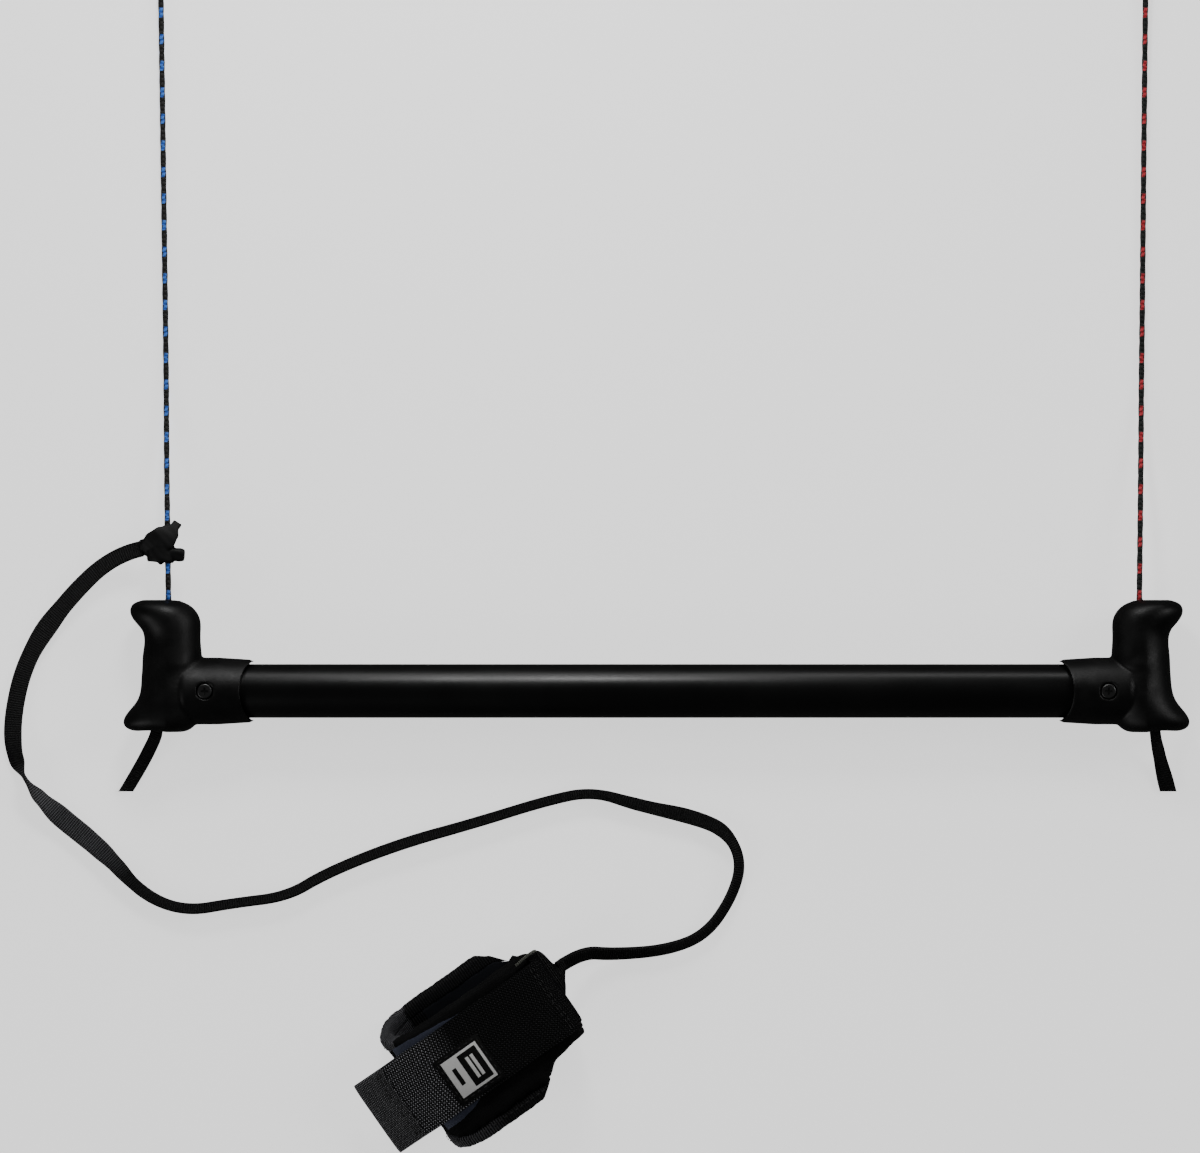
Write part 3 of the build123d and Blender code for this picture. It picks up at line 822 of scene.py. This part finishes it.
def wrapUv(piece):
    # UV map in metres: round the loop, and across it.
    wholeWay = 4 * foldReach + 2 * math.pi * foldRadius
    places = []
    for vertex in piece.data.vertices:
        along, across, up = cuffLocal(vertex.co)
        if abs(along) <= foldReach:
            way = along if up > 0 else 2 * foldReach + math.pi * foldRadius - along
        else:
            side = math.copysign(1, along)
            way = side * (foldReach + foldRadius * math.atan2(abs(along) - foldReach, up))
        places.append((way, across))
    layer = piece.data.uv_layers.new(name="UVMap") if not piece.data.uv_layers else piece.data.uv_layers[0]
    for polygon in piece.data.polygons:
        first = places[polygon.vertices[0]][0]
        for loop in polygon.loop_indices:
            way, across = places[piece.data.loops[loop].vertex_index]
            way += wholeWay * round((first - way) / wholeWay)
            layer.data[loop].uv = (way * mm, across * mm)


def ruffled(piece, depthAt, size, seed):
    # Moves each point along its normal by smooth noise.
    moves = []
    for vertex in piece.data.vertices:
        wave = noise.noise(vertex.co / (size * mm) + Vector((seed, 0, 0)))
        moves.append(vertex.normal * wave * depthAt(vertex.co) * mm)
    for vertex, move in zip(piece.data.vertices, moves):
        vertex.co += move


def inflated(piece, pressure, capAt):
    # Cloth with pressure puffs the pad; no point moves further than its cap.
    before = [vertex.co.copy() for vertex in piece.data.vertices]
    workOn(piece)
    modifier = piece.modifiers.new("cloth", "CLOTH")
    modifier.settings.use_pressure = True
    modifier.settings.uniform_pressure_force = pressure
    modifier.settings.effector_weights.gravity = 0
    modifier.settings.tension_stiffness = 30
    modifier.settings.compression_stiffness = 30
    modifier.settings.bending_stiffness = 2
    for frameNumber in range(1, 21):
        bpy.context.scene.frame_set(frameNumber)
    bpy.ops.object.modifier_apply(modifier="cloth")
    bpy.context.scene.frame_set(1)
    for vertex, old in zip(piece.data.vertices, before):
        move = vertex.co - old
        cap = capAt(old) * mm
        if move.length > cap:
            vertex.co = old + move * cap / move.length


def pinched(place):
    # Beside the leash's anchor the mouth is drawn in, so its rim keeps inside a line.
    along, across, up = cuffLocal(place)
    rim = cuff["width"] / 2 - cuff["skew"] / cuff["height"] * up
    most = lieAt(cuff["drawnIn"], along)[0]
    if across <= 16 or rim <= most:
        return place
    return cuffPlace(along, 16 + (across - 16) * (most - 16) / (rim - 16), up)


def drawIn(piece):
    for vertex in piece.data.vertices:
        place = pinched(vertex.co)
        vertex.co = (place.x, place.y, max(place.z, floorHeight))


def underStrap(place):
    _, across, up = cuffLocal(place)
    return up > 8 and abs(across) < 21


def neopreneSkin():
    # Foamed neoprene faced with nylon jersey: dead matt, with a fine knit and soft wrinkles.
    material, shader = newMaterial("jerseyFacedNeoprene", "#070708", 0.85, Specular_IOR_Level=0.2)
    along, across = uvOf(material)
    knit = times(ribs(along, 0.9), ribs(across, 1.1))
    cloudy = grain(objectPlace(material), 7, 3)
    blendColours(cloudy, "#030303", "#0c0c0d", shader.inputs["Base Color"])
    puckers = raised(None, cloudy, 0.5, 0.6)
    raised(shader, knit, 0.08, under=puckers)
    return material


def liningCloth():
    # Brushed lining cloth bonded inside the pad: dark blue, painted darker to nearly black as painted shade
    # for the shadowed inside of the pad's mouth.
    material, shader = newMaterial("brushedLiningCloth", "#0d0f17", 0.9, Specular_IOR_Level=0.3)
    place = objectPlace(material)
    nap = grain(place, 0.8, 3)  # brushed nap, 0.8 mm
    blendColours(nap, "#050609", "#12151e", shader.inputs["Base Color"])
    raised(shader, nap, 0.15)
    return material


def loopPile():
    # Soft loop pile of the fastener, blue-grey.
    material, shader = newMaterial("loopPileNylon", "#2c3246", 0.92, Sheen_Weight=0.1)
    pile = grain(objectPlace(material), 0.7, 3)  # loops about 0.7 mm
    blendColours(pile, "#1a1e2b", "#454b60", shader.inputs["Base Color"])
    raised(shader, pile, 0.3)
    return material


def hookTape():
    # Moulded nylon hooks in rows: a rough black face with a slight shine.
    material, shader = newMaterial("mouldedHookNylon", "#101010", 0.5)
    hooks = addNode(material.node_tree, "ShaderNodeTexVoronoi", inputs={
        "Vector": objectPlace(material), "Scale": 1 / (1.2 * mm)}).outputs[0]  # hooks 1.2 mm apart
    blendColours(hooks, "#1c1c1c", "#060606", shader.inputs["Base Color"])
    raised(shader, hooks, -0.3)
    return material


def grosgrain():
    # Ribbed binding tape folded over the edge: close crosswise ribs, greyer in random patches, and greyed
    # round the near fold by painted light.
    material, shader = newMaterial("grosgrainBinding", "#0c0c0d", 0.75, Specular_IOR_Level=0.15)
    along, _ = uvOf(material)
    crosswise = ribs(along, 1.25)
    greyingShare = grain(objectPlace(material), 6, 3)
    height = maths("ADD", crosswise, times(greyingShare, 1.2))
    # painted light: the ribs are grey round the lit fold under the pull tab and darker elsewhere
    wearAndFoldLight = between(apartFrom(along, -52 * mm), 22 * mm, 40 * mm, 1.0, 0.12)
    share = times(between(height, -0.4, 1.7), wearAndFoldLight)
    blendColours(share, "#030303", "#58585c", shader.inputs["Base Color"])
    raised(shader, crosswise, 0.22)
    return material


def wovenWebbing(name, pitch, dark, light, litAlong):
    # Heavy nylon webbing: rows of thick yarn float over and under, so it shows as lines of dots.
    material, shader = newMaterial(name, dark, 0.65, Specular_IOR_Level=0.15)
    along, across = uvOf(material)
    rows = times(along, 2 * math.pi / (pitch[0] * mm))
    herring = times(maths("ABSOLUTE", across), 1.2 / (pitch[0] * mm))
    rowWave = maths("SINE", maths("ADD", rows, herring))
    dots = times(rowWave, ribs(across, pitch[1]))
    height = maths("ADD", dots, times(rowWave, 0.5))
    lit = between(height, 0.1, 1.3)
    paintedLightRamp = between(along, litAlong[0] * mm, litAlong[1] * mm, 0.05)  # painted light: the dots show only past this stretch along the band, where it faces the lamp
    fuzz = between(grain(objectPlace(material), 0.5, 2), 0.2, 0.7, 0.7, 1.1)
    share = times(times(lit, paintedLightRamp), fuzz)
    blendColours(share, dark, light, shader.inputs["Base Color"])
    raised(shader, height, 0.3)
    return material


pileMaterial = loopPile()
padMaterial = neopreneSkin()
bindingMaterial = grosgrain()

pad = copyOfCad("cuff_pad", "cuffPad")
applied(pad, "REMESH", mode="VOXEL", voxel_size=cuff["padVoxel"] * mm)
inflated(pad, cuff["pressure"], lambda place: 0.15 if underStrap(place) else 0.9)
applied(pad, "SUBSURF", levels=1, render_levels=1)
middleOfPad = -cuff["padThickness"] / 2


def wrinkleDepth(place):
    if loopOffset(place) < middleOfPad:
        return 0.0
    return 0.1 if underStrap(place) else 1.1


ruffled(pad, wrinkleDepth, 13, 3.0)
ruffled(pad, lambda place: wrinkleDepth(place) * 0.35, 5, 8.0)
drawIn(pad)
settle(pad, "cuffPad", 60)
wrapUv(pad)
wear(pad, padMaterial, "neoprene", "bar", "cuff_pad")
print("cuff pad made")

lining = copyOfCad("cuff_lining", "cuffLining")
applied(lining, "REMESH", mode="VOXEL", voxel_size=0.7 * mm)
applied(lining, "SMOOTH", factor=0.5, iterations=2)
ruffled(lining, lambda place: 0.5, 9, 5.0)
drawIn(lining)
settle(lining, "cuffLining", 60)
wrapUv(lining)
wear(lining, liningCloth(), "lining", "bar", "cuff_lining")
lining.data.materials.append(bindingMaterial)
for face in lining.data.polygons:  # the tape's tails are pressed into the near fold
    along, across, up = cuffLocal(face.center)
    if along < -17 and across > 12:
        face.material_index = 1

for edge in ("upper", "lower"):
    binding = copyOfCad("cuff_binding_" + edge, "cuffBinding_" + edge)
    applied(binding, "REMESH", mode="VOXEL", voxel_size=0.75 * mm)
    applied(binding, "SMOOTH", factor=0.5, iterations=8)
    applied(binding, "DISPLACE", strength=0.2 * mm, mid_level=0)
    ruffled(binding, lambda place: 0.1 if underStrap(place) else 0.6, 8, 2.0)
    drawIn(binding)
    settle(binding, "cuffBinding_" + edge, 60)
    wrapUv(binding)
    wear(binding, bindingMaterial, "binding", "bar", "cuff_binding_" + edge)
    if edge == "upper":  # over the upper wall, past the near fold, the binding takes the black neoprene finish in place of its ribbed tape: painted shade, where that stretch of the rim lies in shadow
        binding.data.materials.append(padMaterial)
        for face in binding.data.polygons:
            along, _, up = cuffLocal(face.center)
            if up > 9 and along > -36:
                face.material_index = 1
print("lining and bindings made")


# Strap: webbing from the sewn end over the top and down past the far fold, where its end is doubled.
strap = {
    "width": 38.0, "thickness": 1.8, "middle": 2.95, "sewnAngle": 42.5, "seam": 4.0, "fall": 35.0,
    "tail": 15.0, "tab": 19.0, "tabThickness": 3.2, "bend": 9.0,
    "loopStrip": [  # distance round the loop, its lower and upper edges
        (-40.0, -22.6, 22.8), (-30.0, -22.4, 22.4), (-24.0, -21.4, 21.6), (-14.0, -18.4, 20.6),
        (-4.0, -18.0, 19.2), (4.0, -18.0, 18.0), (22.0, -18.0, 18.0)],
}


def strapLine():
    # The webbing's middle line from its sewn end, and the direction of its free end.
    reach = foldRadius + strap["middle"]
    start = 90 - strap["sewnAngle"] + math.degrees(strap["seam"] / reach)
    points = []
    for i in range(21):
        angle = math.radians(start * (1 - i / 20))
        points.append(cuffPlace(foldReach + reach * math.sin(angle), 0, reach * math.cos(angle)))
    for i in range(1, 40):
        points.append(cuffPlace(foldReach - 2 * foldReach * i / 40, 0, reach))
    for i in range(15):
        angle = math.radians(strap["fall"] * i / 14)
        points.append(cuffPlace(-foldReach - reach * math.sin(angle), 0, reach * math.cos(angle)))
    fall = math.radians(strap["fall"])
    slope = (-alongCuff * math.cos(fall) - upwards * math.sin(fall)).normalized()
    points.append(points[-1] + slope * strap["tail"] * mm)
    return points, slope


def bandOf(name, line, widthAt, thickAt, acrossAt=lambda way: 0.0, corners=7):
    # A flat band whose width runs across the cuff.
    even, length = evenly(line, 1.0)
    rings = []
    for i, place in enumerate(even):
        tangent = sidesOf(even, i)[0]
        way = length / mm * i / (len(even) - 1)
        centre = place + acrossCuff * acrossAt(way) * mm
        rings.append(flatRing(centre, acrossCuff, tangent.cross(acrossCuff), widthAt(way), thickAt(way),
                              corners, 0.35))
    return skin(name, rings, acrossFlat(widthAt(length / mm / 2), corners, 0.35))


def stitches(name, seams, length=2.2, gap=1.0, thread=0.55):
    # Each seam is (start, end, outward direction). One stitch is modelled and copied along it.
    deselectAll()
    bpy.ops.mesh.primitive_uv_sphere_add(segments=8, ring_count=5, radius=0.5)
    first = bpy.context.object
    made = []
    for begin, end, outward in seams:
        way = end - begin
        count = max(1, int(way.length / ((length + gap) * mm)))
        direction = way.normalized()
        side = outward.cross(direction).normalized()
        turn = Matrix((direction, side, direction.cross(side))).transposed().to_4x4()
        for i in range(count):
            middle = begin + way * (i + 0.5) / count
            stitch = bpy.data.objects.new("stitch", first.data.copy())
            bpy.context.scene.collection.objects.link(stitch)
            shape = Matrix.Diagonal((length * mm, thread * mm, thread * 0.8 * mm, 1))
            stitch.data.transform(Matrix.Translation(middle) @ turn @ shape)
            made.append(stitch)
    bpy.data.objects.remove(first)
    return joined(made, name)


strapMiddle, strapSlope = strapLine()
webbing = bandOf("strapWebbing", strapMiddle, lambda way: strap["width"] + 0.25 * math.sin(way / 6.0),
                 lambda way: strap["thickness"])
# the weave is painted lit from 56 mm along, round the far fold to the doubled end
strapMaterial = wovenWebbing("heavyNylonWebbing", (1.5, 1.45), "#020202", "#c8c8ce", (56, 72))
pivotReach = foldRadius + strap["middle"]
wear(webbing, strapMaterial, "webbing", None, "strap_webbing")
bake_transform(webbing)

tabLine = [strapMiddle[-1] + strapSlope * step * strap["tab"] * mm
           for step in (-0.02, 0.25, 0.5, 0.75, 0.985)]
tabLie = [(0, 2.6), (1.2, 3.2), (15, 3.2), (17.6, 3.0), (18.6, 2.2), (40, 1.8)]  # way along, thickness
pullTab = bandOf("pullTab", tabLine, lambda way: strap["width"], lambda way: lieAt(tabLie, way)[0])
# the painted light on the weave is full all along the tab
tabMaterial = wovenWebbing("fineNylonWebbing", (1.0, 0.95), "#262628", "#c2c2c6", (-2, -1))
wear(pullTab, tabMaterial, "webbing", "strap", "pull_tab")

# The soft side of the fastener lies on the pad and shows past the strap's edges.
stripLine = [loopPlace(way, 0, 0.5) for way in range(-40, 23)]


def stripEdges(way):
    return lieAt(strap["loopStrip"], way + strap["loopStrip"][0][0])


loopPatch = bandOf("loopPatch", stripLine, lambda way: stripEdges(way)[1] - stripEdges(way)[0],
                   lambda way: 1.0, lambda way: sum(stripEdges(way)) / 2, corners=12)
ruffled(loopPatch, lambda place: 0.12, 1.2, 4.0)
wear(loopPatch, pileMaterial, "hook_and_loop", "bar", "loop_patch")

deselectAll()
bpy.ops.mesh.primitive_grid_add(x_subdivisions=80, y_subdivisions=80, size=1)
hookPatch = bpy.context.object
hookPatch.scale = (34 * mm, 34 * mm, 1)
bpy.ops.object.transform_apply(location=False, rotation=False, scale=True)
for vertex in hookPatch.data.vertices:
    rows = math.sin(vertex.co.x / (1.3 * mm) * math.pi) * math.sin(vertex.co.y / (1.3 * mm) * math.pi)
    vertex.co.z = -0.3 * mm * max(rows, 0)
applied(hookPatch, "SOLIDIFY", thickness=0.5 * mm, offset=1)
hookPatch.rotation_euler.z = turned
hookPatch.location = cuffPlace(-4, 0, foldRadius + 1.5)
settle(hookPatch, "hookPatch", 50)
wear(hookPatch, hookTape(), "hook_and_loop", "strap", "hook_patch")
print("strap made")


# Label: a woven patch with a plain two-tone field and two bars, in place of lettering.
label = {"place": (-13.9, -5.0), "size": (19.4, 19.1), "surround": 2.6, "frame": 1.3, "gap": 1.5}


def labelPanel(name, low, high, bottom, thickness, material, soften=0.35):
    # A raised panel between two corners of the label, its edges bevelled.
    deselectAll()
    bpy.ops.mesh.primitive_plane_add(size=1)
    panel = bpy.context.object
    panel.scale = ((high[0] - low[0]) * mm, (high[1] - low[1]) * mm, 1)
    bpy.ops.object.transform_apply(location=False, rotation=False, scale=True)
    bpy.ops.object.mode_set(mode="EDIT")
    bpy.ops.mesh.select_all(action="SELECT")
    bpy.ops.mesh.extrude_region_move(TRANSFORM_OT_translate={"value": (0, 0, thickness * mm)})
    bpy.ops.object.mode_set(mode="OBJECT")
    facesOutward(panel)
    applied(panel, "BEVEL", width=soften * thickness * mm, segments=2)
    panel.rotation_euler.z = turned
    panel.location = cuffPlace((low[0] + high[0]) / 2, (low[1] + high[1]) / 2,
                               foldRadius + strap["middle"] + strap["thickness"] / 2 + bottom)
    settle(panel, name, 40)
    wear(panel, material, "label", "strap")
    return panel


def wovenLabel(name, low, high):
    # Fine satin-woven label cloth: tight crosswise threads.
    material, shader = newMaterial(name, high, 0.7, Specular_IOR_Level=0.2)
    flat = addNode(material.node_tree, "ShaderNodeMapping", inputs={
        "Vector": objectPlace(material), "Rotation": (0, 0, -turned)}).outputs[0]
    split = addNode(material.node_tree, "ShaderNodeSeparateXYZ", inputs={"Vector": flat})
    weave = times(ribs(split.outputs["X"], 0.6), ribs(split.outputs["Y"], 0.9))
    blendColours(between(weave, -1, 0.2), low, high, shader.inputs["Base Color"])
    raised(shader, weave, 0.05)
    return material


whiteThread = wovenLabel("whiteWovenLabel", "#e4e4e2", "#fdfdfb")
blackThread = wovenLabel("blackWovenLabel", "#020202", "#0a0a0a")
labelMiddle = Vector(label["place"])
halfLabel = Vector(label["size"]) / 2
frameWidth, gap = label["frame"], label["gap"]


def panelAt(name, low, high, bottom, thickness, material):
    # Corners are measured from the label's own lower left corner.
    corner = labelMiddle - halfLabel
    return labelPanel(name, corner + Vector(low), corner + Vector(high), bottom, thickness, material)


labelWide, labelTall = label["size"]
surround = label["surround"]
panelAt("labelSurround", (-surround, -surround), (labelWide + surround, labelTall + surround), 0, 0.35,
        blackThread)
labelField = panelAt("labelField", (0, 0), (labelWide, labelTall), 0.3, 0.35, whiteThread)
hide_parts("strap_label")
darkFrom = 0.42 * labelWide
darkTo = labelWide - frameWidth
panelAt("labelDarkField", (darkFrom, frameWidth), (darkTo, labelTall - frameWidth), 0.6, 0.12, blackThread)
for number, barShare in enumerate((0.32, 0.68)):
    barMiddle = darkFrom + gap + (darkTo - darkFrom - 2 * gap) * barShare
    panelAt(f"labelBar_{number}", (barMiddle - 0.8, 4.0), (barMiddle + 0.8, labelTall - 4.0), 0.68, 0.12,
            whiteThread)
panelAt("labelMark", (2.9, 5.2), (5.0, labelTall - 5.2), 0.6, 0.12, blackThread)
labelTop = foldRadius + strap["middle"] + strap["thickness"] / 2 + 0.36
reachX, reachY = halfLabel + Vector((frameWidth, frameWidth))
corners = [cuffPlace(*(labelMiddle + Vector((x * reachX, y * reachY))), labelTop)
           for x, y in ((-1, -1), (1, -1), (1, 1), (-1, 1))]
labelSeams = [(corners[i - 1], corners[i], upwards) for i in (1, 2, 3, 0)]
wear(stitches("labelStitches", labelSeams), yarnMaterial, "label", "strap")

# Seams: the strap's sewn end and its doubled tab.
halfSeam = strap["width"] / 2 - 1.5
topOfStrap = strap["thickness"] / 2 + 0.1


def seamAcross(centre, outward, halfWidth=halfSeam):
    return centre - acrossCuff * halfWidth * mm, centre + acrossCuff * halfWidth * mm, outward


sewnSeams = []
for degrees in (50, 55):
    angle = math.radians(degrees)
    outward = alongCuff * math.cos(angle) + upwards * math.sin(angle)
    sewnSeams.append(seamAcross(foldPlace(angle, pivotReach + topOfStrap), outward))
wear(stitches("sewnEndStitches", sewnSeams), yarnMaterial, "webbing", "bar")
tabOutward = strapSlope.cross(acrossCuff).normalized()
tabOutward = tabOutward if tabOutward.z > 0 else -tabOutward
tabSeams = []
for step in (1.6, 4.0):
    onTab = strapMiddle[-1] + strapSlope * step * mm + tabOutward * (strap["tabThickness"] / 2 + 0.05) * mm
    tabSeams.append(seamAcross(onTab, tabOutward))
wear(stitches("tabStitches", tabSeams), yarnMaterial, "webbing", "strap")
slant = cuff["skew"] / cuff["height"]
for edge, sign in (("upper", 1), ("lower", -1)):
    seams = []
    for way in range(-74, 8, 3):
        ends = []
        for place in (way, way + 3):
            up = cuffLocal(loopPlace(place, 0, 0))[2]
            across = sign * (cuff["width"] / 2 - cuff["bindingWidth"] + 1.2) - slant * up
            ends.append(pinched(loopPlace(place, across, 0.62)))
        seams.append((*ends, outwardAt(way + 1.5)))
    wear(stitches("bindingStitches_" + edge, seams), yarnMaterial, "binding", "bar")
print("label and seams made")


# Leash anchor: a band sewn round the fold, the leash's end doubled and sewn to it, and a folded tag.
anchor = {
    "low": -35.0, "high": 41.0, "offset": 1.0, "width": (-17.0, 21.5), "thickness": 1.7,
    "keeper": [  # along the cuff, across it, width and thickness
        (37.5, 5.0, 30.0, 3.6), (40.0, 7.6, 29.0, 4.2), (42.2, 9.9, 26.0, 4.4), (44.2, 10.4, 21.5, 4.4),
        (45.2, 9.3, 16.4, 4.4), (45.6, 7.1, 9.8, 4.4), (47.0, 8.1, 7.8, 4.2), (49.4, 10.0, 5.4, 3.8),
        (50.6, 10.3, 5.0, 3.4)],
}
anchorLine = []
for i in range(24):
    turnAt = math.radians(anchor["low"] + (anchor["high"] - anchor["low"]) * i / 23)
    anchorLine.append(foldPlace(turnAt, foldRadius + anchor["offset"]))
anchorNear, anchorFar = anchor["width"]
anchorBand = bandOf("anchorBand", anchorLine, lambda way: anchorFar - anchorNear,
                    lambda way: anchor["thickness"], lambda way: (anchorFar + anchorNear) / 2)
# its weave is painted lighter towards the band's upper end
bandMaterial = wovenWebbing("lightNylonWebbing", (0.9, 0.9), "#060607", "#1d1d1f", (0, 30))
wear(anchorBand, bandMaterial, "webbing", "bar", "leash_anchor")
keeperRings = []
for along, across, width, thick in anchor["keeper"]:
    keeperRings.append(flatRing(cuffPlace(along, across, 0), acrossCuff, upwards, width, thick, 6, 0.6))
keeper = skin("leashKeeper", keeperRings, acrossFlat(12))
applied(keeper, "SUBSURF", levels=2, render_levels=2)
settle(keeper, "leashKeeper", 60)
wear(keeper, tapeMaterial, "leash", "bar")
keeperSeams = []
for along, half in ((43.4, 8.0), (45.8, 4.6)):
    keeperSeams.append(seamAcross(cuffPlace(along, 9.2, 2.2), upwards, half))
wear(stitches("keeperStitches", keeperSeams), yarnMaterial, "webbing", "bar")

tagLine = [cuffPlace(31.5, 22.0, 17.6), cuffPlace(35.5, 22.6, 15.8), cuffPlace(39.0, 22.8, 12.8),
           cuffPlace(41.6, 22.7, 9.0), cuffPlace(42.6, 22.2, 5.0)]
foldedTag = bandOf("foldedTag", tagLine, lambda way: 1.2, lambda way: 0.8, corners=5)
tagMaterial = wovenWebbing("paleTapeTag", (1.0, 1.0), "#4a4c45", "#a8aaa0", (-2, -1))
wear(foldedTag, tagMaterial, "lining", "bar")
print("anchor made")
